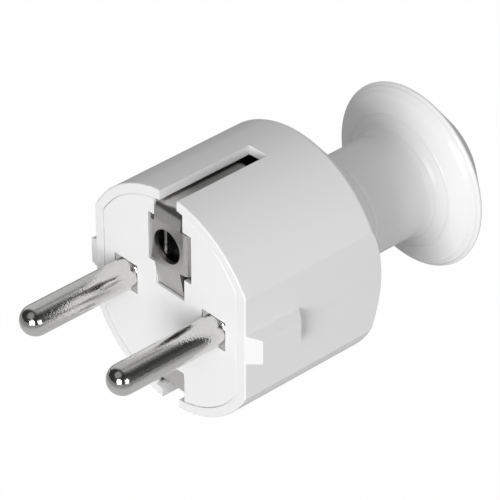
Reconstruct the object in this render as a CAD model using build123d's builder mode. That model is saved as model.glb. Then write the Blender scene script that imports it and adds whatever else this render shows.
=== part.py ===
from build123d import *
import os
from math import cos, radians, sin, tan

os.makedirs("parts", exist_ok=True)

# Type F plug with a pull knob: rewireable, with two side earth contacts and an earth socket.
# The contact face lies on y = 0. The pins point to -y, the cable leaves at +y, and +z is up.
# Sections across the axis are drawn as x, z and run to the rear by a negative depth.

# Driving dimensions in millimetres: pins

pin_spacing = 19.0
pin_diameter = 4.8
pin_reach = 19.5
shank_side = 4.9
shank_recess = 0.12
root_flare = 0.05
root_flare_length = 0.27
shank_gap = 0.06

# Shell

body_radius = 18.4
body_length = 24.9
cone_angle = 40.5
neck_radius = 8.35
neck_length = 11.5
disc_angle = 23.0
crease_radius = 13.67
lip_angle = 41.0
rim_radius = 15.15
rear_radius = 8.97
shell_wall = 1.55
flat_wall = 1.85
cone_wall = 1.8
passage_radius = 5.2

front_edge = 0.25
shoulder_edge = 0.7
neck_fillet = 1.0
flare_fillet = 2.8
crease_fillet = 0.5
rim_edge = 0.3
rear_edge = 0.6

slot_width = 3.7
slot_length = 17.3

# Side lugs: their height above the flats, their reach from the face, and their section

lug_height = 1.65
lug_front = 0.15
lug_length = 9.15
lug_low = -2.45
lug_high = 1.65
lug_ridge = 2.46
lug_lead_in = 1.75
lug_blunt_lead_in = 0.4
lug_back_slope = 1.1

# Contact carrier

carrier_gap = 0.04
carrier_edge = 0.15
face_thickness = 5.0
skirt_wall = 1.3
partition_wall = 1.4
partition_gap = 0.3
tube_radius = 5.0
tube_bore = 3.9
plate_pocket_depth = 3.2
plate_pocket_shift = 0.25
wing_gap = 0.2
wing_gap_low = 1.0
tab_pocket_depth = 2.6
tab_gap = 0.8
sheet_gap = 0.3
channel_gap = 0.15
guide_wall = 1.25

# Snap arms between carrier and shell

latch_nose = 0.5
latch_front = 10.05
latch_length = 2.45
latch_arm_half = 3.4
latch_nose_half = 2.6
latch_slit = 0.6
latch_play = 0.1

# Stop ribs inside the shell

rib_wall = 1.2
rib_overlap = 0.15
rib_angles = (38, 62, 118, 142, 218, 242, 298, 322)

# Pin blocks, saddles and terminal screws

block_width = 5.8
block_height = 8.4
block_room = 0.61
block_length = 6.0
saddle_side = 5.4
saddle_thickness = 1.0
terminal_shank = 1.75
terminal_head = 3.0
terminal_head_height = 2.2
terminal_depth = 4.5
thread_gap = 0.05
screw_gap = 0.2

# Terminal cover with its cable jaw

cover_thickness = 2.0
cover_gap = 0.15
cover_screw_inset = 2.95
cover_screw_angle = 50.2
cover_screw_shank = 1.15
cover_screw_head = 2.2
cover_screw_head_height = 1.6
cover_screw_depth = 4.5
boss_radius = 2.4
post_thickness = 2.6
post_room = 1.6
post_length = 7.5
jaw_depth = 7.9
jaw_gap = 0.4
jaw_length = 6.0
cable_radius = 3.0
bar_thickness = 4.4
bar_length = 4.6
clamp_screw_z = 4.8
clamp_shank = 1.25
clamp_head = 2.3
clamp_head_height = 2.0
nut_flats = 5.0
nut_thickness = 2.0

# Earth clip: one bent strip with the socket plate above and the short tab below

clip_sheet = 0.8
strip_width = 5.5
arm_recess = 2.0
earth_drop = 6.7
earth_hole_radius = 2.75
plate_proud = 0.3
plate_reach = 3.65
plate_top_drop = 2.9
wing_reach_low = 3.25
wing_drop = 0.55
wing_half_width = 4.4
wing_shift = 0.2
wing_roll = 0.8
wing_depth = 1.2
tab_reach = 7.65
tab_lean = 0.45
top_bend_back = 0.0
lower_tab_back = 0.7
lower_tab_height = 4.2
web_standoff = 2.6
plate_bend = 3.0
front_bend = 1.0
rear_bend = 1.2

# Earth socket spring, its rivet and the earth terminal

spring_sheet = 0.5
spring_half_width = 2.2
spring_pinch = 1.0
spring_spread = 2.8
spring_front = 0.6
spring_heel = 2.5
spring_bow = 6.0
spring_hip = 3.0
spring_bend = 0.6
rivet_radius = 1.0
rivet_head = 1.7
rivet_head_height = 0.6
earth_block_drop = 4.8
earth_block_width = 6.5
earth_block_height = 6.0
earth_block_length = 3.0
earth_head = 2.8
earth_shank = 1.5

# Cable inlet bush

bush_radius = 6.4
bush_bore = 4.4
bush_flange = 7.4
bush_flange_height = 0.6
bush_length = 6.8
bush_mouth = 0.8
bush_gap = 0.1

# Derived places along the axis

cone_rise = tan(radians(cone_angle))
neck_root_y = body_length + (body_radius - neck_radius) * cone_rise
flange_y = neck_root_y + neck_length
crease_y = flange_y + (crease_radius - neck_radius) * tan(radians(disc_angle))
rim_y = crease_y + (rim_radius - crease_radius) * tan(radians(lip_angle))
rear_y = rim_y + (rim_radius - rear_radius) * cone_rise
block_rear_y = face_thickness + block_length
carrier_rear_y = block_rear_y + cover_thickness
web_front_y = carrier_rear_y + web_standoff
web_rear_y = web_front_y + clip_sheet
tube_rear_y = web_front_y - spring_sheet - latch_play
jaw_front_y = carrier_rear_y + post_length
jaw_mid_y = jaw_front_y + jaw_length / 2
bush_seat_y = rear_y - bush_length - bush_gap

# Derived places across the axis

pin_x = pin_spacing / 2
pin_radius = pin_diameter / 2
partition_x = pin_x - block_width / 2 - partition_gap - partition_wall / 2
body_flat = pin_x + block_width / 2 + block_room + skirt_wall + carrier_gap + flat_wall
bore_radius = body_radius - shell_wall
bore_flat = body_flat - flat_wall
carrier_radius = bore_radius - carrier_gap
carrier_flat = bore_flat - carrier_gap
skirt_radius = carrier_radius - skirt_wall
skirt_flat = carrier_flat - skirt_wall
cover_screw_reach = skirt_radius - cover_screw_inset
cover_screw_x = cover_screw_reach * cos(radians(cover_screw_angle))
cover_screw_z = -cover_screw_reach * sin(radians(cover_screw_angle))
arm_outer_z = body_radius - arm_recess
arm_z = arm_outer_z - clip_sheet / 2
earth_z = arm_outer_z - earth_drop
plate_low = earth_z - plate_reach
plate_high = arm_outer_z - plate_top_drop
wing_low = earth_z - wing_reach_low
tab_end_z = earth_z - tab_reach
lower_tab_end = lower_tab_height - arm_outer_z
tab_pocket_top = lower_tab_end + tab_gap
earth_block_z = earth_block_drop - arm_outer_z
channel_half = strip_width / 2 + sheet_gap
channel_floor = arm_outer_z - clip_sheet - channel_gap
terminal_hole = terminal_shank + thread_gap
cover_flat = pin_x + block_width / 2
notch_x = pin_x - terminal_head - cover_gap
notch_half = terminal_head + screw_gap
post_x = post_thickness / 2 - jaw_depth
post_end_z = -earth_block_z - earth_block_height / 2 - post_room
post_width = post_end_z - notch_half
jaw_half_width = -earth_block_z - earth_head - jaw_gap
post_z = notch_half + post_width / 2


def across(y):
    """The plane across the axis at station y, drawn as x and z."""
    return Plane.XZ.offset(-y)


def rearward(x, y, z):
    """A plane at a point, with its normal along the axis to the rear."""
    return Plane(origin=(x, y, z), x_dir=(1, 0, 0), z_dir=(0, 1, 0))


def cavity_cone_y(radius):
    """Where the inside of the rear cone has the given radius."""
    return body_length + (body_radius - radius) * cone_rise - cone_wall / cos(radians(cone_angle))


def slotted_screw(seat, shank, shank_length, head, head_height):
    """A slotted screw whose head sits on the plane seat."""
    with BuildPart() as screw:
        with BuildSketch(seat):
            Circle(head)
        extrude(amount=head_height)
        chamfer(screw.edges().filter_by(GeomType.CIRCLE).sort_by(Axis(seat.origin, seat.z_dir))[-1], 0.15 * head)
        with BuildSketch(seat):
            Circle(shank)
        extrude(amount=-shank_length)
        with BuildSketch(seat.offset(head_height)):
            Rectangle(2 * head, 0.3 * head)
        extrude(amount=-0.4 * head_height, mode=Mode.SUBTRACT)
    return screw.part


# Space inside the shell: the bore for the carrier, the rear cone and the cable passage

with BuildPart() as cavity:
    with BuildSketch():
        with BuildLine():
            Polyline(
                (0, 0),
                (bore_radius, 0),
                (bore_radius, cavity_cone_y(bore_radius)),
                (passage_radius, cavity_cone_y(passage_radius)),
                (passage_radius, rear_y),
                (0, rear_y),
                close=True,
            )
        make_face()
    revolve(axis=Axis.Y)
    with BuildSketch():
        Rectangle(2 * bore_flat, 4 * rear_y)
    extrude(amount=body_radius, both=True, mode=Mode.INTERSECT)

# Side lugs on the flats: the right one has a sloping lead-in, the left one a blunt front,
# and both have a sloping top and a back that leans to the rear

lugs = []
for side, lead_in in ((1, lug_lead_in), (-1, lug_blunt_lead_in)):
    lug_root = body_flat - flat_wall / 2
    lug_outer = body_flat + lug_height
    with BuildPart() as lug:
        with BuildSketch(across(0)):
            with BuildLine():
                Polyline(
                    (side * lug_root, lug_low),
                    (side * lug_outer, lug_low),
                    (side * lug_outer, lug_high),
                    (side * body_flat, lug_ridge),
                    (side * lug_root, lug_ridge),
                    close=True,
                )
            make_face()
        extrude(amount=-(lug_front + lug_length + lug_back_slope))
        with BuildSketch():
            with BuildLine():
                Polyline(
                    (side * lug_root, lug_front),
                    (side * body_flat, lug_front),
                    (side * lug_outer, lug_front + lead_in),
                    (side * lug_outer, lug_front + lug_length),
                    (side * body_flat, lug_front + lug_length + lug_back_slope),
                    (side * lug_root, lug_front + lug_length + lug_back_slope),
                    close=True,
                )
            make_face()
        extrude(amount=body_radius, both=True, mode=Mode.INTERSECT)
    lugs.append(lug.part)

# Housing: body, rear cone, waisted neck and pull knob in one moulding

with BuildPart() as housing:
    with BuildSketch():
        with BuildLine():
            outline = FilletPolyline(
                (0, 0),
                (body_radius, 0),
                (body_radius, body_length),
                (neck_radius, neck_root_y),
                (neck_radius, flange_y),
                (crease_radius, crease_y),
                (rim_radius, rim_y),
                (rear_radius, rear_y),
                (0, rear_y),
                radius=[0, shoulder_edge, neck_fillet, flare_fillet, crease_fillet, rim_edge, rear_edge],
            )
            Line(outline @ 1, outline @ 0)
        make_face()
    revolve(axis=Axis.Y)
    with BuildSketch():
        Rectangle(2 * body_flat, 4 * rear_y)
    extrude(amount=body_radius, both=True, mode=Mode.INTERSECT)
    fillet(housing.faces().sort_by(Axis.Y)[0].edges(), front_edge)
    add(cavity.part, mode=Mode.SUBTRACT)
    # Seat of the inlet bush
    with BuildSketch(across(bush_seat_y)):
        Circle(bush_radius + bush_gap)
    extrude(amount=-(rear_y - bush_seat_y), mode=Mode.SUBTRACT)
    # Slots that let the side earth contacts through
    with BuildSketch(across(0)):
        with Locations((0, body_radius), (0, -body_radius)):
            Rectangle(slot_width, 2 * shell_wall + 1)
    extrude(amount=-slot_length, mode=Mode.SUBTRACT)
    # Pockets for the noses of the snap arms
    with BuildSketch(across(latch_front - latch_play)):
        Rectangle(2 * (bore_flat + latch_nose), 2 * (latch_nose_half + latch_slit))
    extrude(amount=-(latch_length + 2 * latch_play), mode=Mode.SUBTRACT)
    # Ribs that stop the carrier
    rib_inner = skirt_radius - rib_overlap
    rib_outer = bore_radius + shell_wall / 4
    with BuildSketch(across(carrier_rear_y + latch_play / 2)):
        for angle in rib_angles:
            with PolarLocations((rib_inner + rib_outer) / 2, 1, angle):
                Rectangle(rib_outer - rib_inner, rib_wall)
    extrude(amount=-(cavity_cone_y(rib_inner) + rib_overlap - carrier_rear_y))
    add(lugs)
housing.part.label = "housing"
export_step(housing.part, "parts/housing.step")

# Contact carrier: the face insert with its skirt, partitions, earth tube and snap arms

with BuildPart() as contact_carrier:
    with BuildSketch(across(0)):
        Circle(carrier_radius)
        Rectangle(2 * carrier_flat, 2 * carrier_radius, mode=Mode.INTERSECT)
    extrude(amount=-carrier_rear_y)
    chamfer(contact_carrier.faces().sort_by(Axis.Y)[0].edges(), carrier_edge)
    with BuildSketch(across(face_thickness)):
        Circle(skirt_radius)
        Rectangle(2 * skirt_flat, 2 * skirt_radius, mode=Mode.INTERSECT)
    extrude(amount=-(carrier_rear_y - face_thickness), mode=Mode.SUBTRACT)
    # Partitions beside the pin blocks, and bosses for the cover screws
    with BuildSketch(across(face_thickness)):
        with Locations((partition_x, 0), (-partition_x, 0)):
            Rectangle(partition_wall, 2 * carrier_radius)
        with Locations((cover_screw_x, cover_screw_z), (-cover_screw_x, cover_screw_z)):
            Circle(boss_radius)
        Circle(carrier_radius - skirt_wall / 2, mode=Mode.INTERSECT)
    extrude(amount=-block_length)
    # Guides under the earth clip's arms
    with BuildSketch(across(face_thickness)):
        for side in (1, -1):
            with Locations((0, side * channel_floor)):
                Rectangle(2 * (channel_half + guide_wall), 2 * guide_wall)
        Circle(carrier_radius - skirt_wall / 2, mode=Mode.INTERSECT)
    extrude(amount=-(carrier_rear_y - face_thickness))
    # Earth tube
    with BuildSketch(across(face_thickness)):
        with Locations((0, earth_z)):
            Circle(tube_radius)
    extrude(amount=-(tube_rear_y - face_thickness))
    with BuildSketch(across(0)):
        with Locations((0, earth_z)):
            Circle(tube_bore)
    extrude(amount=-tube_rear_y, mode=Mode.SUBTRACT)
    # Square holes for the pin shanks
    with BuildSketch(across(0)):
        with Locations((pin_x, 0), (-pin_x, 0)):
            Rectangle(shank_side + 2 * shank_gap, shank_side + 2 * shank_gap)
    extrude(amount=-face_thickness, mode=Mode.SUBTRACT)
    # Pilot holes for the cover screws
    with BuildSketch(across(block_rear_y)):
        with Locations((cover_screw_x, cover_screw_z), (-cover_screw_x, cover_screw_z)):
            Circle(cover_screw_shank + thread_gap)
    extrude(amount=cover_screw_depth, mode=Mode.SUBTRACT)
    # Channels for the earth clip's arms
    with BuildSketch(across(0)):
        for side in (1, -1):
            with Locations((0, side * (channel_floor + skirt_wall))):
                Rectangle(2 * channel_half, 2 * skirt_wall)
    extrude(amount=-carrier_rear_y, mode=Mode.SUBTRACT)
    # Pocket for the socket plate, with room for its wings
    column_low = tab_end_z - sheet_gap
    wing_room_low = wing_low - wing_gap_low
    wing_room_high = plate_high + sheet_gap / 2
    with BuildSketch(across(0)):
        with Locations((plate_pocket_shift, (column_low + plate_high) / 2)):
            Rectangle(2 * channel_half, plate_high - column_low)
        with Locations((0, (plate_high + carrier_radius) / 2)):
            Rectangle(2 * channel_half, carrier_radius - plate_high)
        with Locations((plate_pocket_shift, (wing_room_low + wing_room_high) / 2)):
            Rectangle(2 * (wing_half_width + wing_gap), wing_room_high - wing_room_low)
    extrude(amount=-plate_pocket_depth, mode=Mode.SUBTRACT)
    # Pocket for the lower tab
    with BuildSketch(across(0)):
        with Locations((0, (tab_pocket_top - carrier_radius) / 2)):
            Rectangle(2 * channel_half, carrier_radius + tab_pocket_top)
    extrude(amount=-tab_pocket_depth, mode=Mode.SUBTRACT)
    # Slits that free the snap arms, then their noses
    with BuildSketch(across(face_thickness)):
        with GridLocations(2 * carrier_flat, 2 * latch_arm_half + latch_slit, 2, 2):
            Rectangle(4 * skirt_wall, latch_slit)
    extrude(amount=-(carrier_rear_y - face_thickness), mode=Mode.SUBTRACT)
    for side in (1, -1):
        with BuildSketch(Plane.XY.offset(-latch_nose_half)):
            with BuildLine():
                Polyline(
                    (side * (carrier_flat - skirt_wall / 2), latch_front),
                    (side * (carrier_flat + latch_nose), latch_front),
                    (side * carrier_flat, latch_front + latch_length),
                    (side * (carrier_flat - skirt_wall / 2), latch_front + latch_length),
                    close=True,
                )
            make_face()
        extrude(amount=2 * latch_nose_half)
contact_carrier.part.label = "contact_carrier"
export_step(contact_carrier.part, "parts/contact_carrier.step")

# Line and neutral contacts: turned pin, square shank and terminal block in one brass piece

for name, x in (("line", -pin_x), ("neutral", pin_x)):
    with BuildPart() as contact_pin:
        with BuildSketch(Plane.XY):
            with BuildLine():
                CenterArc((x, pin_radius - pin_reach), pin_radius, -90, 90)
                Polyline(
                    (x + pin_radius, pin_radius - pin_reach),
                    (x + pin_radius, shank_recess - root_flare_length),
                    (x + pin_radius + root_flare, shank_recess),
                    (x, shank_recess),
                    (x, -pin_reach),
                )
            make_face()
        revolve(axis=Axis((x, 0, 0), (0, 1, 0)))
        with BuildSketch(across(shank_recess)):
            with Locations((x, 0)):
                Rectangle(shank_side, shank_side)
        extrude(amount=-(face_thickness - shank_recess))
        with BuildSketch(across(face_thickness)):
            with Locations((x, 0)):
                Rectangle(block_width, block_height)
        extrude(amount=-block_length)
        with BuildSketch(across(block_rear_y)):
            with Locations((x, 0)):
                Circle(terminal_hole)
        extrude(amount=terminal_depth, mode=Mode.SUBTRACT)
    contact_pin.part.label = f"{name}_pin"
    export_step(contact_pin.part, f"parts/{name}_pin.step")

    # Saddle that holds the conductor under the screw head
    with BuildPart() as saddle:
        with BuildSketch(across(block_rear_y)):
            with Locations((x, 0)):
                Rectangle(saddle_side, saddle_side)
                Circle(terminal_shank + screw_gap, mode=Mode.SUBTRACT)
        extrude(amount=-saddle_thickness)
        fillet(saddle.edges().filter_by(Axis.Y).filter_by(GeomType.LINE), saddle_thickness / 2)
    saddle.part.label = f"{name}_saddle"
    export_step(saddle.part, f"parts/{name}_saddle.step")

    screw = slotted_screw(
        rearward(x, block_rear_y + saddle_thickness, 0),
        terminal_shank,
        terminal_depth + saddle_thickness - screw_gap,
        terminal_head,
        terminal_head_height,
    )
    screw.label = f"{name}_terminal_screw"
    export_step(screw, f"parts/{name}_terminal_screw.step")

# Earth clip: bent from one strip, its plate widened by two rolled wings round the socket hole

with BuildPart() as earth_clip:
    plate_y = clip_sheet / 2 - plate_proud
    web_y = web_front_y + clip_sheet / 2
    with BuildSketch(Plane.YZ):
        with BuildLine():
            FilletPolyline(
                (tab_lean + clip_sheet / 2, tab_end_z),
                (plate_y, plate_low),
                (plate_y, plate_high),
                (top_bend_back + clip_sheet / 2, arm_z),
                (web_y, arm_z),
                (web_y, -arm_z),
                (lower_tab_back + clip_sheet / 2, -arm_z),
                (lower_tab_back + clip_sheet / 2, lower_tab_end),
                radius=[plate_bend, plate_bend, front_bend, rear_bend, rear_bend, front_bend],
            )
        trace(line_width=clip_sheet)
    extrude(amount=strip_width / 2, both=True)
    wing_reach = wing_half_width - clip_sheet / 2
    for side, wing_top in ((1, plate_high), (-1, plate_high - wing_drop)):
        wing_x = wing_shift + side * wing_reach
        with BuildSketch(Plane.XY.offset(wing_low)):
            with BuildLine():
                FilletPolyline(
                    (0, plate_y),
                    (wing_x, plate_y),
                    (wing_x, wing_depth),
                    radius=wing_roll,
                )
            trace(line_width=clip_sheet)
        extrude(amount=wing_top - wing_low)
    with BuildSketch(across(-clip_sheet)):
        with Locations((0, earth_z)):
            Circle(earth_hole_radius)
    extrude(amount=-3 * clip_sheet, mode=Mode.SUBTRACT)
    with BuildSketch(across(web_front_y)):
        with Locations((0, earth_z)):
            Circle(rivet_radius + thread_gap)
        with Locations((0, earth_block_z)):
            Circle(earth_shank + screw_gap)
    extrude(amount=-clip_sheet, mode=Mode.SUBTRACT)
earth_clip.part.label = "earth_clip"
export_step(earth_clip.part, "parts/earth_clip.step")

# Spring of the earth socket: a bronze strip riveted to the web, bent forward into one long leaf
# that bows in to press on the socket's earth pin

with BuildPart() as earth_socket_spring:
    leaf_base_y = web_front_y - spring_sheet / 2
    leaf_tip_x = -spring_pinch - spring_sheet / 2
    bow_y = (spring_front + leaf_base_y) / 2
    with BuildSketch(Plane.XY.offset(earth_z - spring_half_width)):
        with BuildLine():
            FilletPolyline(
                (leaf_tip_x, spring_front),
                (leaf_tip_x - spring_pinch / 2, bow_y),
                (-spring_spread, leaf_base_y - spring_heel),
                (-spring_spread, leaf_base_y),
                (spring_spread, leaf_base_y),
                radius=[spring_bow, spring_hip, spring_bend],
            )
        trace(line_width=spring_sheet)
    extrude(amount=2 * spring_half_width)
    with BuildSketch(across(web_front_y - spring_sheet)):
        with Locations((0, earth_z)):
            Circle(rivet_radius + thread_gap)
    extrude(amount=-spring_sheet, mode=Mode.SUBTRACT)
earth_socket_spring.part.label = "earth_socket_spring"
export_step(earth_socket_spring.part, "parts/earth_socket_spring.step")

with BuildPart() as earth_socket_rivet:
    rivet_front_y = web_front_y - spring_sheet
    with BuildSketch(Plane.XY.offset(earth_z)):
        with BuildLine():
            Polyline(
                (0, rivet_front_y - rivet_head_height),
                (rivet_radius, rivet_front_y - rivet_head_height),
                (rivet_head, rivet_front_y - rivet_head_height / 2),
                (rivet_head, rivet_front_y),
                (rivet_radius, rivet_front_y),
                (rivet_radius, web_rear_y),
                (rivet_head, web_rear_y),
                (rivet_head, web_rear_y + rivet_head_height / 2),
                (rivet_radius, web_rear_y + rivet_head_height),
                (0, web_rear_y + rivet_head_height),
                close=True,
            )
        make_face()
    revolve(axis=Axis((0, 0, earth_z), (0, 1, 0)))
earth_socket_rivet.part.label = "earth_socket_rivet"
export_step(earth_socket_rivet.part, "parts/earth_socket_rivet.step")

# Earth terminal on the rear of the clip's web: a tapped block, its saddle and its screw

with BuildPart() as earth_terminal_block:
    with BuildSketch(across(web_rear_y)):
        with Locations((0, earth_block_z)):
            Rectangle(earth_block_width, earth_block_height)
            Circle(earth_shank + thread_gap, mode=Mode.SUBTRACT)
    extrude(amount=-earth_block_length)
earth_terminal_block.part.label = "earth_terminal_block"
export_step(earth_terminal_block.part, "parts/earth_terminal_block.step")

earth_saddle_y = web_rear_y + earth_block_length
with BuildPart() as earth_saddle:
    with BuildSketch(across(earth_saddle_y)):
        with Locations((0, earth_block_z)):
            Rectangle(saddle_side, saddle_side)
            Circle(earth_shank + screw_gap, mode=Mode.SUBTRACT)
    extrude(amount=-saddle_thickness)
    fillet(earth_saddle.edges().filter_by(Axis.Y).filter_by(GeomType.LINE), saddle_thickness / 2)
earth_saddle.part.label = "earth_saddle"
export_step(earth_saddle.part, "parts/earth_saddle.step")

earth_screw = slotted_screw(
    rearward(0, earth_saddle_y + saddle_thickness, earth_block_z),
    earth_shank,
    saddle_thickness + earth_block_length + clip_sheet + screw_gap,
    earth_head,
    terminal_head_height,
)
earth_screw.label = "earth_terminal_screw"
export_step(earth_screw, "parts/earth_terminal_screw.step")

# Terminal cover: a plate over the pin blocks that carries the cable jaw on two posts

with BuildPart() as terminal_cover:
    with BuildSketch(across(block_rear_y)):
        Circle(skirt_radius - cover_gap)
        Rectangle(2 * cover_flat, 2 * skirt_radius, mode=Mode.INTERSECT)
        # Open notches over the terminals
        with Locations((pin_x, 0), (-pin_x, 0)):
            Rectangle(2 * (pin_x - notch_x), 2 * notch_half, mode=Mode.SUBTRACT)
        # Room for the earth tube and for the guides of the clip's arms
        with Locations((0, earth_z)):
            Circle(tube_radius + cover_gap, mode=Mode.SUBTRACT)
        with Locations((0, earth_z + tube_radius)):
            Rectangle(2 * (tube_radius + cover_gap), 2 * tube_radius, mode=Mode.SUBTRACT)
        with Locations((0, -channel_floor)):
            Rectangle(
                2 * (channel_half + guide_wall + cover_gap),
                2 * (guide_wall + cover_gap),
                mode=Mode.SUBTRACT,
            )
        with Locations((cover_screw_x, cover_screw_z), (-cover_screw_x, cover_screw_z)):
            Circle(cover_screw_shank + screw_gap, mode=Mode.SUBTRACT)
    extrude(amount=-cover_thickness)
    with BuildSketch(across(carrier_rear_y)):
        with Locations((post_x, post_z), (post_x, -post_z)):
            Rectangle(post_thickness, post_width)
    extrude(amount=-post_length)
    with BuildSketch(across(jaw_front_y)):
        with Locations((-jaw_depth / 2, 0)):
            Rectangle(jaw_depth, 2 * jaw_half_width)
        Circle(cable_radius, mode=Mode.SUBTRACT)
    extrude(amount=-jaw_length)
    # Clamp screw holes, and hexagon pockets for the nuts
    with BuildSketch(Plane.YZ):
        with Locations((jaw_mid_y, clamp_screw_z), (jaw_mid_y, -clamp_screw_z)):
            Circle(clamp_shank + screw_gap)
    extrude(amount=-jaw_depth, mode=Mode.SUBTRACT)
    with BuildSketch(Plane.YZ.offset(-jaw_depth)):
        with Locations((jaw_mid_y, clamp_screw_z), (jaw_mid_y, -clamp_screw_z)):
            RegularPolygon(nut_flats / 2 + thread_gap, 6, major_radius=False, rotation=30)
    extrude(amount=nut_thickness + latch_play, mode=Mode.SUBTRACT)
terminal_cover.part.label = "terminal_cover"
export_step(terminal_cover.part, "parts/terminal_cover.step")

for name, x in (("left", -cover_screw_x), ("right", cover_screw_x)):
    screw = slotted_screw(
        rearward(x, carrier_rear_y, cover_screw_z),
        cover_screw_shank,
        cover_thickness + cover_screw_depth - screw_gap,
        cover_screw_head,
        cover_screw_head_height,
    )
    screw.label = f"cover_screw_{name}"
    export_step(screw, f"parts/cover_screw_{name}.step")

# Clamp bar over the cable, with its two screws and their nuts

with BuildPart() as clamp_bar:
    with BuildSketch(across(jaw_mid_y - bar_length / 2)):
        with Locations((bar_thickness / 2, 0)):
            Rectangle(bar_thickness, 2 * jaw_half_width)
        Circle(cable_radius, mode=Mode.SUBTRACT)
    extrude(amount=-bar_length)
    with BuildSketch(Plane.YZ):
        with Locations((jaw_mid_y, clamp_screw_z), (jaw_mid_y, -clamp_screw_z)):
            Circle(clamp_shank + screw_gap)
    extrude(amount=bar_thickness, mode=Mode.SUBTRACT)
    fillet(clamp_bar.edges().filter_by(Axis.Y).group_by(Axis.X)[-1], clamp_shank)
clamp_bar.part.label = "clamp_bar"
export_step(clamp_bar.part, "parts/clamp_bar.step")

for name, z in (("upper", clamp_screw_z), ("lower", -clamp_screw_z)):
    screw = slotted_screw(
        Plane(origin=(bar_thickness, jaw_mid_y, z), x_dir=(0, 1, 0), z_dir=(1, 0, 0)),
        clamp_shank,
        bar_thickness + jaw_depth - latch_play,
        clamp_head,
        clamp_head_height,
    )
    screw.label = f"clamp_screw_{name}"
    export_step(screw, f"parts/clamp_screw_{name}.step")

    with BuildPart() as clamp_nut:
        with BuildSketch(Plane.YZ.offset(nut_thickness + latch_play - jaw_depth)):
            with Locations((jaw_mid_y, z)):
                RegularPolygon(nut_flats / 2, 6, major_radius=False, rotation=30)
                Circle(clamp_shank + thread_gap, mode=Mode.SUBTRACT)
        extrude(amount=-nut_thickness)
    clamp_nut.part.label = f"clamp_nut_{name}"
    export_step(clamp_nut.part, f"parts/clamp_nut_{name}.step")

# Cable inlet bush in the rear of the knob, with a bevelled mouth

with BuildPart() as inlet_bush:
    with BuildSketch():
        with BuildLine():
            Polyline(
                (bush_radius, rear_y - bush_length),
                (bush_bore, rear_y - bush_length),
                (bush_bore, rear_y + bush_flange_height - bush_mouth),
                (bush_bore + bush_mouth, rear_y + bush_flange_height),
                (bush_flange - bush_flange_height / 2, rear_y + bush_flange_height),
                (bush_flange, rear_y + bush_flange_height / 2),
                (bush_flange, rear_y),
                (bush_radius, rear_y),
                close=True,
            )
        make_face()
    revolve(axis=Axis.Y)
inlet_bush.part.label = "inlet_bush"
export_step(inlet_bush.part, "parts/inlet_bush.step")
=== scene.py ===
from math import cos, radians, sin

import bpy
from bpy.props import FloatProperty, FloatVectorProperty, PointerProperty
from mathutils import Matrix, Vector


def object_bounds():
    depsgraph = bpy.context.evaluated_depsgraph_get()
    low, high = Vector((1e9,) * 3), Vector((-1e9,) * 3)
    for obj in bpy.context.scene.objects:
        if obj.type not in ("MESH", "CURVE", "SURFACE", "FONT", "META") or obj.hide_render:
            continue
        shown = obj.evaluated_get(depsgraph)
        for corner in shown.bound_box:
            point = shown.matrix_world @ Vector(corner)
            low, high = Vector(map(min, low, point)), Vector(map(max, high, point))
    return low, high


bl_info = {
    "name": "Type F plug",
    "version": (1, 0, 0),
    "blender": (4, 5, 0),
    "location": "View3D > Sidebar > Plug",
    "description": "Dresses the plug's solids with their finishes and sets up its studio",
    "category": "Object",
}

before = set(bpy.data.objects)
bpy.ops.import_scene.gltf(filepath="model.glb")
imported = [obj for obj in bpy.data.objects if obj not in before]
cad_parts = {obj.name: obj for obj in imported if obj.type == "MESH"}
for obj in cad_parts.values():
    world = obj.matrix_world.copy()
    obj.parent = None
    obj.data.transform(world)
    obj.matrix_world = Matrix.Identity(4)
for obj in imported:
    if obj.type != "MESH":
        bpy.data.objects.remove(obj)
cad_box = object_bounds()

MM = 0.001
PHOTO_SIDE = 500
SENSOR = 36.0
CLIP_START = 0.01
CLIP_END = 20.0

# Moulded plastic: noise scales of its clouds of tone and its fine grain, the grain's height, and the gloss
CLOUD_SCALE = 90.0
GRAIN_SCALE = 2500.0
GRAIN_STRENGTH = 0.06
GRAIN_HEIGHT = 0.02 * MM
PLASTIC_GLOSS = 0.24
PLASTIC_IOR = 1.5

# Fine lines of the mould: rings round the knob's flange, and a lower seam behind the right lug
LINE_HEIGHT = 0.075 * MM
RING_RADII = (8.8 * MM, 10.7 * MM, 14.4 * MM)
RING_WIDTH = 0.28 * MM
RINGS_FROM = 42.5 * MM
SEAM_WIDTH = 0.12 * MM
SEAM_SHARE = 0.25
SEAM_FROM = 11.5 * MM
SEAM_TO = 31.0 * MM

# Softboxes: their places and sizes in metres
KEY_BOX = (0.516, -1.090, 0.272)
KEY_BOX_SIZE = (0.48, 0.56)
RIGHT_BOX = (1.188, -0.236, 0.310)
RIGHT_BOX_SIZE = (0.44, 0.52)

# Floor: its own tone, the share of plain white that the camera sees, and the painted glow that metal sees
# in it near and far
FLOOR_SIZE = 6.0
FLOOR_ROUGHNESS = 0.9
FLOOR_TONE = 0.6
FLOOR_GLOW = 0.985
NEAR_REFLECTED_GLOW = 0.58
FAR_REFLECTED_GLOW = 0.30
REFLECTED_GLOW_EDGE = (0.030, 0.080)

# Room that metal reflects: dark in front, a lit patch of ceiling, and a sweep of tones from left to right
FRONT_ROOM_TONE = 0.045
FRONT_TO_SWEEP = (-0.15, 0.12)
CEILING_PATCH = (-0.07, -0.59, 0.80)
CEILING_PATCH_EDGE = (0.88, 0.96)
CEILING_PATCH_TONE = 0.35
SWEEP_TONES = (
    (-1.00, 0.76),
    (-0.65, 0.72),
    (-0.50, 0.70),
    (-0.36, 0.66),
    (-0.22, 0.40),
    (-0.10, 0.38),
    (0.04, 0.66),
    (0.16, 0.42),
    (0.28, 0.24),
    (0.40, 0.13),
    (0.55, 0.06),
    (0.70, 0.06),
    (0.80, 0.12),
    (1.00, 0.13),
)

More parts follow.
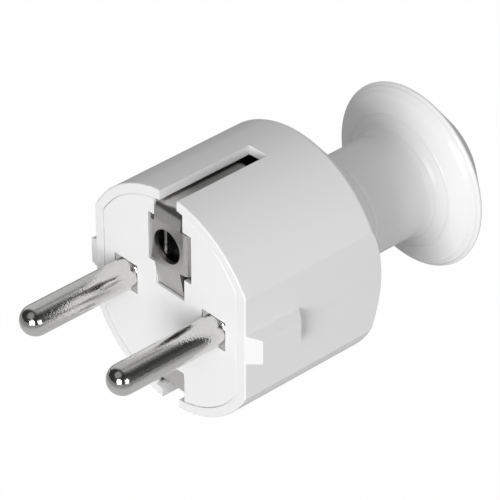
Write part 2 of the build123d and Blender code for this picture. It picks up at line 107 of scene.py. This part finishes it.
# Nodes of each finish
MOULDED_SHELL = ("housing",)
MOULDED_INSERT = ("contact_carrier",)
MOULDED_INNER = ("terminal_cover", "clamp_bar")
PLATED_PINS = ("line_pin", "neutral_pin")
PLATED_SHEET = ("earth_clip", "earth_terminal_block", "earth_socket_rivet")
BRONZE = ("earth_socket_spring",)
ZINC = (
    "line_saddle",
    "neutral_saddle",
    "earth_saddle",
    "line_terminal_screw",
    "neutral_terminal_screw",
    "earth_terminal_screw",
    "cover_screw_left",
    "cover_screw_right",
    "clamp_screw_upper",
    "clamp_screw_lower",
    "clamp_nut_upper",
    "clamp_nut_lower",
)
RUBBER = ("inlet_bush",)


class PlugFinish(bpy.types.PropertyGroup):
    """Colours and surface values of the plug's finishes."""

    shell_colour: FloatVectorProperty(
        name="Shell colour",
        description="Colour of the moulded shell",
        subtype="COLOR",
        default=(0.80, 0.80, 0.80),
    )
    insert_colour: FloatVectorProperty(
        name="Insert colour",
        description="Colour of the contact insert",
        subtype="COLOR",
        default=(0.81, 0.81, 0.81),
    )
    inner_colour: FloatVectorProperty(
        name="Inner colour",
        description="Colour of the hidden mouldings",
        subtype="COLOR",
        default=(0.27, 0.28, 0.29),
    )
    plating_colour: FloatVectorProperty(
        name="Plating colour",
        description="Colour of the nickel plating",
        subtype="COLOR",
        default=(0.72, 0.715, 0.70),
    )
    # The spring's tinned bronze colour, made darker as painted shade for the inside of the earth hole.
    bronze_and_shade_colour: FloatVectorProperty(
        name="Bronze colour",
        description="Colour of the tinned socket spring",
        subtype="COLOR",
        default=(0.42, 0.41, 0.40),
    )
    zinc_colour: FloatVectorProperty(
        name="Zinc colour",
        description="Colour of the plated screws, nuts and saddles",
        subtype="COLOR",
        default=(0.63, 0.64, 0.66),
    )
    rubber_colour: FloatVectorProperty(
        name="Rubber colour",
        description="Colour of the inlet bush",
        subtype="COLOR",
        default=(0.74, 0.74, 0.73),
    )
    plastic_roughness: FloatProperty(
        name="Plastic roughness",
        description="Roughness of the shell and the contact insert",
        default=0.24,
        min=0.0,
        max=1.0,
    )
    pin_roughness: FloatProperty(
        name="Pin roughness",
        description="Roughness of the turned pins",
        default=0.13,
        min=0.0,
        max=1.0,
    )


class PlugStudio(bpy.types.PropertyGroup):
    """Viewing angle and light of the studio."""

    azimuth: FloatProperty(
        name="Azimuth",
        description="Direction of view about the vertical",
        subtype="ANGLE",
        default=radians(47.6),
    )
    elevation: FloatProperty(
        name="Elevation",
        description="Height of the view over the horizon",
        subtype="ANGLE",
        default=radians(35.15),
    )
    distance: FloatProperty(
        name="Distance",
        description="Depth of the contact face from the lens",
        subtype="DISTANCE",
        unit="LENGTH",
        default=0.5552,
    )
    focal_pixels: FloatProperty(
        name="Focal length",
        description="Focal length in pixels of the square photograph",
        default=3857.0,
    )
    face_pixel: FloatVectorProperty(
        name="Face pixel",
        description="Pixel of the contact face's centre",
        size=2,
        default=(169.33, 301.30),
    )
    key_power: FloatProperty(
        name="Key power",
        description="Power of the key softbox",
        unit="POWER",
        default=11.3,
    )
    right_power: FloatProperty(
        name="Right power",
        description="Power of the right softbox",
        unit="POWER",
        default=2.2,
    )
    world_strength: FloatProperty(
        name="Room light",
        description="Strength of the even room light",
        default=0.44,
    )


def grey(tone):
    """A grey colour of one tone."""
    return (tone, tone, tone, 1.0)


def feed(links, value, socket):
    """Sets a socket to a number, or links another socket to it."""
    if isinstance(value, (int, float)):
        socket.default_value = value
    else:
        links.new(value, socket)


def math_node(nodes, links, operation, *values):
    """One Math node on numbers and sockets. Returns its output."""
    node = nodes.new("ShaderNodeMath")
    node.operation = operation
    for slot, value in enumerate(values):
        feed(links, value, node.inputs[slot])
    return node.outputs[0]


def fade(nodes, links, value, start, stop):
    """A smooth step of a socket's value, from 0 at start to 1 at stop."""
    step = nodes.new("ShaderNodeMapRange")
    step.interpolation_type = "SMOOTHSTEP"
    step.inputs["From Min"].default_value = start
    step.inputs["From Max"].default_value = stop
    links.new(value, step.inputs["Value"])
    return step.outputs["Result"]


def swing(nodes, links, value, low, high):
    """A value between low and high brought to between -1 and 1."""
    spread = nodes.new("ShaderNodeMapRange")
    spread.inputs["From Min"].default_value = low
    spread.inputs["From Max"].default_value = high
    spread.inputs["To Min"].default_value = -1.0
    links.new(value, spread.inputs["Value"])
    return spread.outputs["Result"]


def noise(nodes, links, vector, scale, detail):
    """A noise texture whose scale is a number or a socket. Returns its output."""
    texture = nodes.new("ShaderNodeTexNoise")
    texture.inputs["Detail"].default_value = detail
    links.new(vector, texture.inputs["Vector"])
    feed(links, scale, texture.inputs["Scale"])
    return texture.outputs["Fac"]


def toned(nodes, links, colour, factor):
    """A colour made darker or lighter by a factor."""
    tint = nodes.new("ShaderNodeVectorMath")
    tint.operation = "SCALE"
    links.new(colour, tint.inputs[0])
    links.new(factor, tint.inputs["Scale"])
    return tint.outputs[0]


def length_of(nodes, links, vector):
    """The length of a vector."""
    measure = nodes.new("ShaderNodeVectorMath")
    measure.operation = "LENGTH"
    links.new(vector, measure.inputs[0])
    return measure.outputs["Value"]


def named_socket(group, name, kind, default=None, limits=None, direction="INPUT"):
    """Adds one socket to a shader node group."""
    socket = group.interface.new_socket(name=name, in_out=direction, socket_type=kind)
    if default is not None:
        socket.default_value = default
    if limits:
        socket.min_value, socket.max_value = limits


def surface_outputs(group):
    """Adds the outputs that a surface takes: colour, roughness and height."""
    named_socket(group, "Colour", "NodeSocketColor", direction="OUTPUT")
    named_socket(group, "Roughness", "NodeSocketFloat", direction="OUTPUT")
    named_socket(group, "Height", "NodeSocketFloat", direction="OUTPUT")


def node_group(name, build):
    """The shader node group of a name, built the first time that it is asked for."""
    if name not in bpy.data.node_groups:
        build(bpy.data.node_groups.new(name, "ShaderNodeTree"))
    return bpy.data.node_groups[name]


def build_moulding_grain(group):
    """Fine mould texture: a slight change of tone, of roughness and of height."""
    named_socket(group, "Colour", "NodeSocketColor", grey(0.8))
    named_socket(group, "Roughness", "NodeSocketFloat", 0.35, (0.0, 1.0))
    named_socket(group, "Grain size", "NodeSocketFloat", GRAIN_SCALE)
    named_socket(group, "Tone change", "NodeSocketFloat", 0.02)
    named_socket(group, "Roughness change", "NodeSocketFloat", 0.06)
    surface_outputs(group)
    nodes, links = group.nodes, group.links
    given = nodes.new("NodeGroupInput").outputs
    result = nodes.new("NodeGroupOutput").inputs
    place = nodes.new("ShaderNodeTexCoord").outputs["Object"]
    cloud = noise(nodes, links, place, CLOUD_SCALE, detail=3.0)
    fine = noise(nodes, links, place, given["Grain size"], detail=2.0)
    spread = swing(nodes, links, cloud, low=0.0, high=1.0)
    tone = math_node(nodes, links, "MULTIPLY_ADD", spread, given["Tone change"], 1.0)
    rough = math_node(nodes, links, "MULTIPLY_ADD", spread, given["Roughness change"], given["Roughness"])
    links.new(toned(nodes, links, given["Colour"], tone), result["Colour"])
    links.new(rough, result["Roughness"])
    links.new(fine, result["Height"])


def build_plated_metal(group):
    """Plated metal: fine pits and drawn lines in roughness, tone and height."""
    named_socket(group, "Colour", "NodeSocketColor", grey(0.7))
    named_socket(group, "Roughness", "NodeSocketFloat", 0.2, (0.0, 1.0))
    named_socket(group, "Line direction", "NodeSocketVector", (1.0, 1.0, 1.0))
    named_socket(group, "Line size", "NodeSocketFloat", 3000.0)
    named_socket(group, "Pit size", "NodeSocketFloat", 5000.0)
    named_socket(group, "Tone change", "NodeSocketFloat", 0.08)
    surface_outputs(group)
    nodes, links = group.nodes, group.links
    given = nodes.new("NodeGroupInput").outputs
    result = nodes.new("NodeGroupOutput").inputs
    place = nodes.new("ShaderNodeTexCoord").outputs["Object"]
    stretched = nodes.new("ShaderNodeVectorMath")
    stretched.operation = "MULTIPLY"
    links.new(place, stretched.inputs[0])
    links.new(given["Line direction"], stretched.inputs[1])
    lines = noise(nodes, links, stretched.outputs[0], given["Line size"], detail=4.0)
    pits = noise(nodes, links, place, given["Pit size"], detail=1.0)
    spread = swing(nodes, links, lines, low=0.3, high=0.7)
    tone = math_node(nodes, links, "MULTIPLY_ADD", spread, given["Tone change"], 1.0)
    rough = math_node(nodes, links, "MULTIPLY_ADD", spread, given["Tone change"], given["Roughness"])
    links.new(toned(nodes, links, given["Colour"], tone), result["Colour"])
    links.new(rough, result["Roughness"])
    links.new(math_node(nodes, links, "ADD", lines, pits), result["Height"])


def line_profile(nodes, links, value, centre, width):
    """A ridge that is 1 where the value meets the centre and falls to 0 at the width."""
    off = math_node(nodes, links, "SUBTRACT", value, centre)
    return fade(nodes, links, math_node(nodes, links, "ABSOLUTE", off), width, 0.0)


def build_mould_lines(group):
    """Height of the fine rings on the knob's flange and of the mould seam on the right flat."""
    named_socket(group, "Height", "NodeSocketFloat", direction="OUTPUT")
    nodes, links = group.nodes, group.links
    result = nodes.new("NodeGroupOutput").inputs
    axes = nodes.new("ShaderNodeSeparateXYZ")
    links.new(nodes.new("ShaderNodeTexCoord").outputs["Object"], axes.inputs[0])
    across = nodes.new("ShaderNodeCombineXYZ")
    links.new(axes.outputs["X"], across.inputs["X"])
    links.new(axes.outputs["Z"], across.inputs["Z"])
    radius = length_of(nodes, links, across.outputs[0])
    rings = 0.0
    for ring in RING_RADII:
        rings = math_node(nodes, links, "ADD", rings, line_profile(nodes, links, radius, ring, RING_WIDTH))
    on_knob = math_node(nodes, links, "GREATER_THAN", axes.outputs["Y"], RINGS_FROM)
    rings = math_node(nodes, links, "MULTIPLY", rings, on_knob)
    seam = line_profile(nodes, links, axes.outputs["Z"], 0.0, SEAM_WIDTH)
    behind = math_node(nodes, links, "GREATER_THAN", axes.outputs["Y"], SEAM_FROM)
    ahead = math_node(nodes, links, "LESS_THAN", axes.outputs["Y"], SEAM_TO)
    right = math_node(nodes, links, "GREATER_THAN", axes.outputs["X"], 0.0)
    for limit in (behind, ahead, right, SEAM_SHARE):
        seam = math_node(nodes, links, "MULTIPLY", seam, limit)
    links.new(math_node(nodes, links, "ADD", rings, seam), result["Height"])


def build_gap_shade(group):
    """Painted shade: darkens a colour behind the contact face, where only narrow gaps let the eye in."""
    named_socket(group, "Colour", "NodeSocketColor", grey(0.8))
    named_socket(group, "Shade", "NodeSocketFloat", 0.1, (0.0, 1.0))
    named_socket(group, "Start", "NodeSocketFloat", 0.3 * MM)
    named_socket(group, "End", "NodeSocketFloat", 1.0 * MM)
    named_socket(group, "Colour", "NodeSocketColor", direction="OUTPUT")
    nodes, links = group.nodes, group.links
    given = nodes.new("NodeGroupInput").outputs
    result = nodes.new("NodeGroupOutput").inputs
    axes = nodes.new("ShaderNodeSeparateXYZ")
    links.new(nodes.new("ShaderNodeTexCoord").outputs["Object"], axes.inputs[0])
    depth = nodes.new("ShaderNodeMapRange")
    depth.inputs["To Min"].default_value = 1.0
    links.new(axes.outputs["Y"], depth.inputs["Value"])
    links.new(given["Start"], depth.inputs["From Min"])
    links.new(given["End"], depth.inputs["From Max"])
    links.new(given["Shade"], depth.inputs["To Max"])
    links.new(toned(nodes, links, given["Colour"], depth.outputs["Result"]), result["Colour"])


def surface_material(name, group, settings, bump_strength, bump_height, fixed):
    """A Principled material whose changing values come from one node group."""
    material = bpy.data.materials.new(name)
    material.use_nodes = True
    nodes, links = material.node_tree.nodes, material.node_tree.links
    shader = nodes["Principled BSDF"]
    grain = nodes.new("ShaderNodeGroup")
    grain.node_tree = group
    for socket, value in settings.items():
        grain.inputs[socket].default_value = value
    bump = nodes.new("ShaderNodeBump")
    bump.inputs["Strength"].default_value = bump_strength
    bump.inputs["Distance"].default_value = bump_height
    links.new(grain.outputs["Colour"], shader.inputs["Base Color"])
    links.new(grain.outputs["Roughness"], shader.inputs["Roughness"])
    links.new(grain.outputs["Height"], bump.inputs["Height"])
    links.new(bump.outputs["Normal"], shader.inputs["Normal"])
    for socket, value in fixed.items():
        shader.inputs[socket].default_value = value
    return material


def moulded_plastic(name, colour, roughness, tone=0.003):
    """Moulded plastic or rubber with a slight grain."""
    return surface_material(
        name,
        node_group("moulding_grain", build_moulding_grain),
        {"Colour": (*colour, 1.0), "Roughness": roughness, "Tone change": tone, "Grain size": GRAIN_SCALE},
        bump_strength=GRAIN_STRENGTH,
        bump_height=GRAIN_HEIGHT,
        fixed={"IOR": PLASTIC_IOR, "Specular IOR Level": PLASTIC_GLOSS},
    )


def plated_metal(name, colour, roughness, direction, depth=0.001 * MM, line=3000.0, pit=5000.0, tone=0.05):
    """Plated metal with pits, and with lines drawn out along each axis whose direction is under 1."""
    return surface_material(
        name,
        node_group("plated_metal", build_plated_metal),
        {
            "Colour": (*colour, 1.0),
            "Roughness": roughness,
            "Line direction": direction,
            "Line size": line,
            "Pit size": pit,
            "Tone change": tone,
        },
        bump_strength=1.0,
        bump_height=depth,
        fixed={"Metallic": 1.0},
    )


def add_mould_lines(material):
    """Puts the fine mould lines under a material's grain."""
    nodes, links = material.node_tree.nodes, material.node_tree.links
    lines = nodes.new("ShaderNodeGroup")
    lines.node_tree = node_group("mould_lines", build_mould_lines)
    bump = nodes.new("ShaderNodeBump")
    bump.inputs["Distance"].default_value = LINE_HEIGHT
    links.new(lines.outputs["Height"], bump.inputs["Height"])
    links.new(bump.outputs["Normal"], nodes["Bump"].inputs["Normal"])


def paint_shade_in_gaps(material, shade, start, end):
    """Paints shade into a material's base colour: darkens it to a share of it, from one depth behind the
    face to another.
    """
    nodes, links = material.node_tree.nodes, material.node_tree.links
    base = nodes["Principled BSDF"].inputs["Base Color"]
    gaps = nodes.new("ShaderNodeGroup")
    gaps.node_tree = node_group("gap_shade", build_gap_shade)
    gaps.inputs["Shade"].default_value = shade
    gaps.inputs["Start"].default_value = start
    gaps.inputs["End"].default_value = end
    links.new(base.links[0].from_socket, gaps.inputs["Colour"])
    links.new(gaps.outputs["Colour"], base)


def dress(names, material):
    """Gives CAD nodes their material."""
    for name in names:
        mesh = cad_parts[name].data
        mesh.materials.clear()
        mesh.materials.append(material)


class PLUG_OT_mouldings(bpy.types.Operator):
    """Gives the shell, the insert and the hidden mouldings their plastic."""

    bl_idname = "plug.mouldings"
    bl_label = "Mouldings"

    def execute(self, context):
        look = context.scene.plug_finish
        shell = moulded_plastic("shell_plastic", look.shell_colour, look.plastic_roughness)
        add_mould_lines(shell)
        dress(MOULDED_SHELL, shell)
        insert = moulded_plastic("insert_plastic", look.insert_colour, look.plastic_roughness)
        # Painted shade: the insert's colour darkens behind the face, so its gaps and the earth hole look
        # dark.
        paint_shade_in_gaps(insert, shade=0.08, start=0.3 * MM, end=1.0 * MM)
        dress(MOULDED_INSERT, insert)
        dress(MOULDED_INNER, moulded_plastic("inner_plastic", look.inner_colour, roughness=0.5))
        return {"FINISHED"}


class PLUG_OT_contacts(bpy.types.Operator):
    """Gives the pins, the earth clip and the socket spring their metal."""

    bl_idname = "plug.contacts"
    bl_label = "Contacts"

    def execute(self, context):
        look = context.scene.plug_finish
        pins = plated_metal(
            "pin_nickel",
            look.plating_colour,
            look.pin_roughness,
            direction=(1.0, 1.0, 1.0),
            depth=0.018 * MM,
            line=2400.0,
            pit=3600.0,
        )
        dress(PLATED_PINS, pins)
        sheet = plated_metal(
            "sheet_nickel",
            look.plating_colour,
            roughness=0.3,
            direction=(1.0, 0.1, 0.1),
            depth=0.0001 * MM,
            tone=0.03,
        )
        # Painted shade: the earth clip's colour darkens deeper in the slots, standing for the shade and
        # dark reflections there.
        paint_shade_in_gaps(sheet, shade=0.4, start=1.0 * MM, end=6.5 * MM)
        dress(PLATED_SHEET, sheet)
        spring = plated_metal("spring_bronze", look.bronze_and_shade_colour, roughness=0.3, direction=(1.0, 0.1, 1.0))
        dress(BRONZE, spring)
        return {"FINISHED"}


class PLUG_OT_fasteners(bpy.types.Operator):
    """Gives the screws, nuts and saddles their zinc."""

    bl_idname = "plug.fasteners"
    bl_label = "Fasteners"

    def execute(self, context):
        look = context.scene.plug_finish
        dress(ZINC, plated_metal("screw_zinc", look.zinc_colour, roughness=0.35, direction=(1.0, 1.0, 1.0)))
        return {"FINISHED"}


class PLUG_OT_inlet(bpy.types.Operator):
    """Gives the cable inlet bush its rubber."""

    bl_idname = "plug.inlet"
    bl_label = "Cable inlet"

    def execute(self, context):
        look = context.scene.plug_finish
        dress(RUBBER, moulded_plastic("bush_rubber", look.rubber_colour, roughness=0.6, tone=0.03))
        return {"FINISHED"}


def sweep_ramp(nodes):
    """A colour ramp of the room's tones, from 0 at the far left to 1 at the far right."""
    sweep = nodes.new("ShaderNodeValToRGB")
    ramp = sweep.color_ramp
    first, *between, last = SWEEP_TONES
    for element, (x, tone) in zip(ramp.elements, (first, last)):
        element.position = (x + 1.0) / 2.0
        element.color = grey(tone)
    for x, tone in between:
        ramp.elements.new((x + 1.0) / 2.0).color = grey(tone)
    return sweep


def room_reflection(nodes, links):
    """What metal and gloss see of the room. Returns the strength of the room in each direction."""
    place = nodes.new("ShaderNodeTexCoord").outputs["Generated"]
    axes = nodes.new("ShaderNodeSeparateXYZ")
    links.new(place, axes.inputs[0])
    across = nodes.new("ShaderNodeMapRange")
    across.inputs["From Min"].default_value = -1.0
    links.new(axes.outputs["X"], across.inputs["Value"])
    sweep = sweep_ramp(nodes)
    links.new(across.outputs["Result"], sweep.inputs["Fac"])
    room = nodes.new("ShaderNodeMix")
    room.inputs["A"].default_value = FRONT_ROOM_TONE
    links.new(fade(nodes, links, axes.outputs["Y"], *FRONT_TO_SWEEP), room.inputs["Factor"])
    links.new(sweep.outputs["Color"], room.inputs["B"])
    toward = nodes.new("ShaderNodeVectorMath")
    toward.operation = "DOT_PRODUCT"
    toward.inputs[1].default_value = CEILING_PATCH
    links.new(place, toward.inputs[0])
    patch = fade(nodes, links, toward.outputs["Value"], *CEILING_PATCH_EDGE)
    return math_node(nodes, links, "MULTIPLY_ADD", patch, CEILING_PATCH_TONE, room.outputs["Result"])


def choose_shader(nodes, links, switch, usual, chosen):
    """A shader that turns from the usual one to the chosen one where a switch is on. Returns its output."""
    mix = nodes.new("ShaderNodeMixShader")
    links.new(switch, mix.inputs["Fac"])
    links.new(usual, mix.inputs[1])
    links.new(chosen, mix.inputs[2])
    return mix.outputs[0]


def studio_world(strength):
    """Soft room light, white where the camera looks, and the room's own tones where metal reflects it."""
    world = bpy.data.worlds.new("studio_room")
    bpy.context.scene.world = world
    world.use_nodes = True
    nodes, links = world.node_tree.nodes, world.node_tree.links
    room = nodes["Background"]
    room.inputs["Color"].default_value = grey(1.0)
    room.inputs["Strength"].default_value = strength
    backdrop = nodes.new("ShaderNodeBackground")
    backdrop.inputs["Color"].default_value = grey(1.0)
    mirrored = nodes.new("ShaderNodeBackground")
    links.new(room_reflection(nodes, links), mirrored.inputs["Strength"])
    ray = nodes.new("ShaderNodeLightPath").outputs
    seen = choose_shader(nodes, links, ray["Is Camera Ray"], room.outputs[0], backdrop.outputs[0])
    lit = choose_shader(nodes, links, ray["Is Glossy Ray"], seen, mirrored.outputs[0])
    links.new(lit, nodes["World Output"].inputs["Surface"])


def floor_paper():
    """Grey paper, all but white to the camera, with a painted glow, paler near the plug, that only metal
    sees.
    """
    paint = bpy.data.materials.new("floor_paper")
    paint.use_nodes = True
    nodes, links = paint.node_tree.nodes, paint.node_tree.links
    paper = nodes["Principled BSDF"]
    paper.inputs["Base Color"].default_value = grey(FLOOR_TONE)
    paper.inputs["Roughness"].default_value = FLOOR_ROUGHNESS
    glow = nodes.new("ShaderNodeEmission")
    glow.inputs["Color"].default_value = grey(1.0)
    ray = nodes.new("ShaderNodeLightPath").outputs
    share = math_node(nodes, links, "MULTIPLY", ray["Is Camera Ray"], FLOOR_GLOW)
    seen = choose_shader(nodes, links, share, paper.outputs[0], glow.outputs[0])
    # Painted reflection: the floor glows for glossy rays, brighter near the plug.
    reach = length_of(nodes, links, nodes.new("ShaderNodeTexCoord").outputs["Object"])
    near = fade(nodes, links, reach, REFLECTED_GLOW_EDGE[1], REFLECTED_GLOW_EDGE[0])
    tone = math_node(nodes, links, "MULTIPLY_ADD", near, NEAR_REFLECTED_GLOW - FAR_REFLECTED_GLOW, FAR_REFLECTED_GLOW)
    reflected_glow = nodes.new("ShaderNodeEmission")
    links.new(tone, reflected_glow.inputs["Strength"])
    lit = choose_shader(nodes, links, ray["Is Glossy Ray"], seen, reflected_glow.outputs[0])
    links.new(lit, nodes["Material Output"].inputs["Surface"])
    return paint


def softbox(name, place, size, power):
    """A rectangular area light at a place, aimed at the contact face."""
    bpy.ops.object.light_add(type="AREA", location=place)
    light = bpy.context.object
    light.name = name
    light.data.shape = "RECTANGLE"
    light.data.size, light.data.size_y = size
    light.data.energy = power
    light.rotation_euler = Vector(place).to_track_quat("Z", "Y").to_euler()


class PLUG_OT_studio(bpy.types.Operator):
    """Sets up the floor, the room light, the softboxes and the camera."""

    bl_idname = "plug.studio"
    bl_label = "Studio"

    def execute(self, context):
        studio = context.scene.plug_studio
        context.scene.view_settings.view_transform = "Standard"
        studio_world(studio.world_strength)
        bpy.ops.object.select_all(action="DESELECT")
        bpy.ops.mesh.primitive_plane_add(size=FLOOR_SIZE, location=(0.0, 0.0, cad_box[0][2]))
        floor = context.object
        floor.name = "studio_floor"
        floor.data.materials.append(floor_paper())
        softbox("key_softbox", KEY_BOX, KEY_BOX_SIZE, studio.key_power)
        softbox("right_softbox", RIGHT_BOX, RIGHT_BOX_SIZE, studio.right_power)
        self.add_camera(context, studio)
        return {"FINISHED"}

    def add_camera(self, context, studio):
        """The photograph's camera: the contact face's centre falls on its measured pixel."""
        turn, tilt = studio.azimuth, studio.elevation
        right = Vector((cos(turn), sin(turn), 0.0))
        forward = Vector((-sin(turn) * cos(tilt), cos(turn) * cos(tilt), -sin(tilt)))
        up = right.cross(forward)
        aside = (studio.face_pixel[0] - PHOTO_SIDE / 2) * studio.distance / studio.focal_pixels
        below = (studio.face_pixel[1] - PHOTO_SIDE / 2) * studio.distance / studio.focal_pixels
        place = -forward * studio.distance - right * aside + up * below
        bpy.ops.object.camera_add(location=place, rotation=(radians(90) - tilt, 0.0, turn))
        camera = context.object
        camera.name = "photo_camera"
        camera.data.sensor_width = SENSOR
        camera.data.lens = studio.focal_pixels * SENSOR / PHOTO_SIDE
        camera.data.clip_start = CLIP_START
        camera.data.clip_end = CLIP_END
        context.scene.camera = camera


class PLUG_PT_panel(bpy.types.Panel):
    """Lists the plug's operators."""

    bl_idname = "PLUG_PT_panel"
    bl_label = "Type F plug"
    bl_space_type = "VIEW_3D"
    bl_region_type = "UI"
    bl_category = "Plug"

    def draw(self, context):
        for operator in OPERATORS:
            self.layout.operator(operator.bl_idname)


OPERATORS = (PLUG_OT_mouldings, PLUG_OT_contacts, PLUG_OT_fasteners, PLUG_OT_inlet, PLUG_OT_studio)
CLASSES = (PlugFinish, PlugStudio, *OPERATORS, PLUG_PT_panel)


def register():
    for cls in CLASSES:
        bpy.utils.register_class(cls)
    bpy.types.Scene.plug_finish = PointerProperty(type=PlugFinish)
    bpy.types.Scene.plug_studio = PointerProperty(type=PlugStudio)


def unregister():
    del bpy.types.Scene.plug_studio
    del bpy.types.Scene.plug_finish
    for cls in reversed(CLASSES):
        bpy.utils.unregister_class(cls)


def main():
    register()
    bpy.ops.plug.mouldings()
    bpy.ops.plug.contacts()
    bpy.ops.plug.fasteners()
    bpy.ops.plug.inlet()
    bpy.ops.plug.studio()


if __name__ == "__main__":
    main()
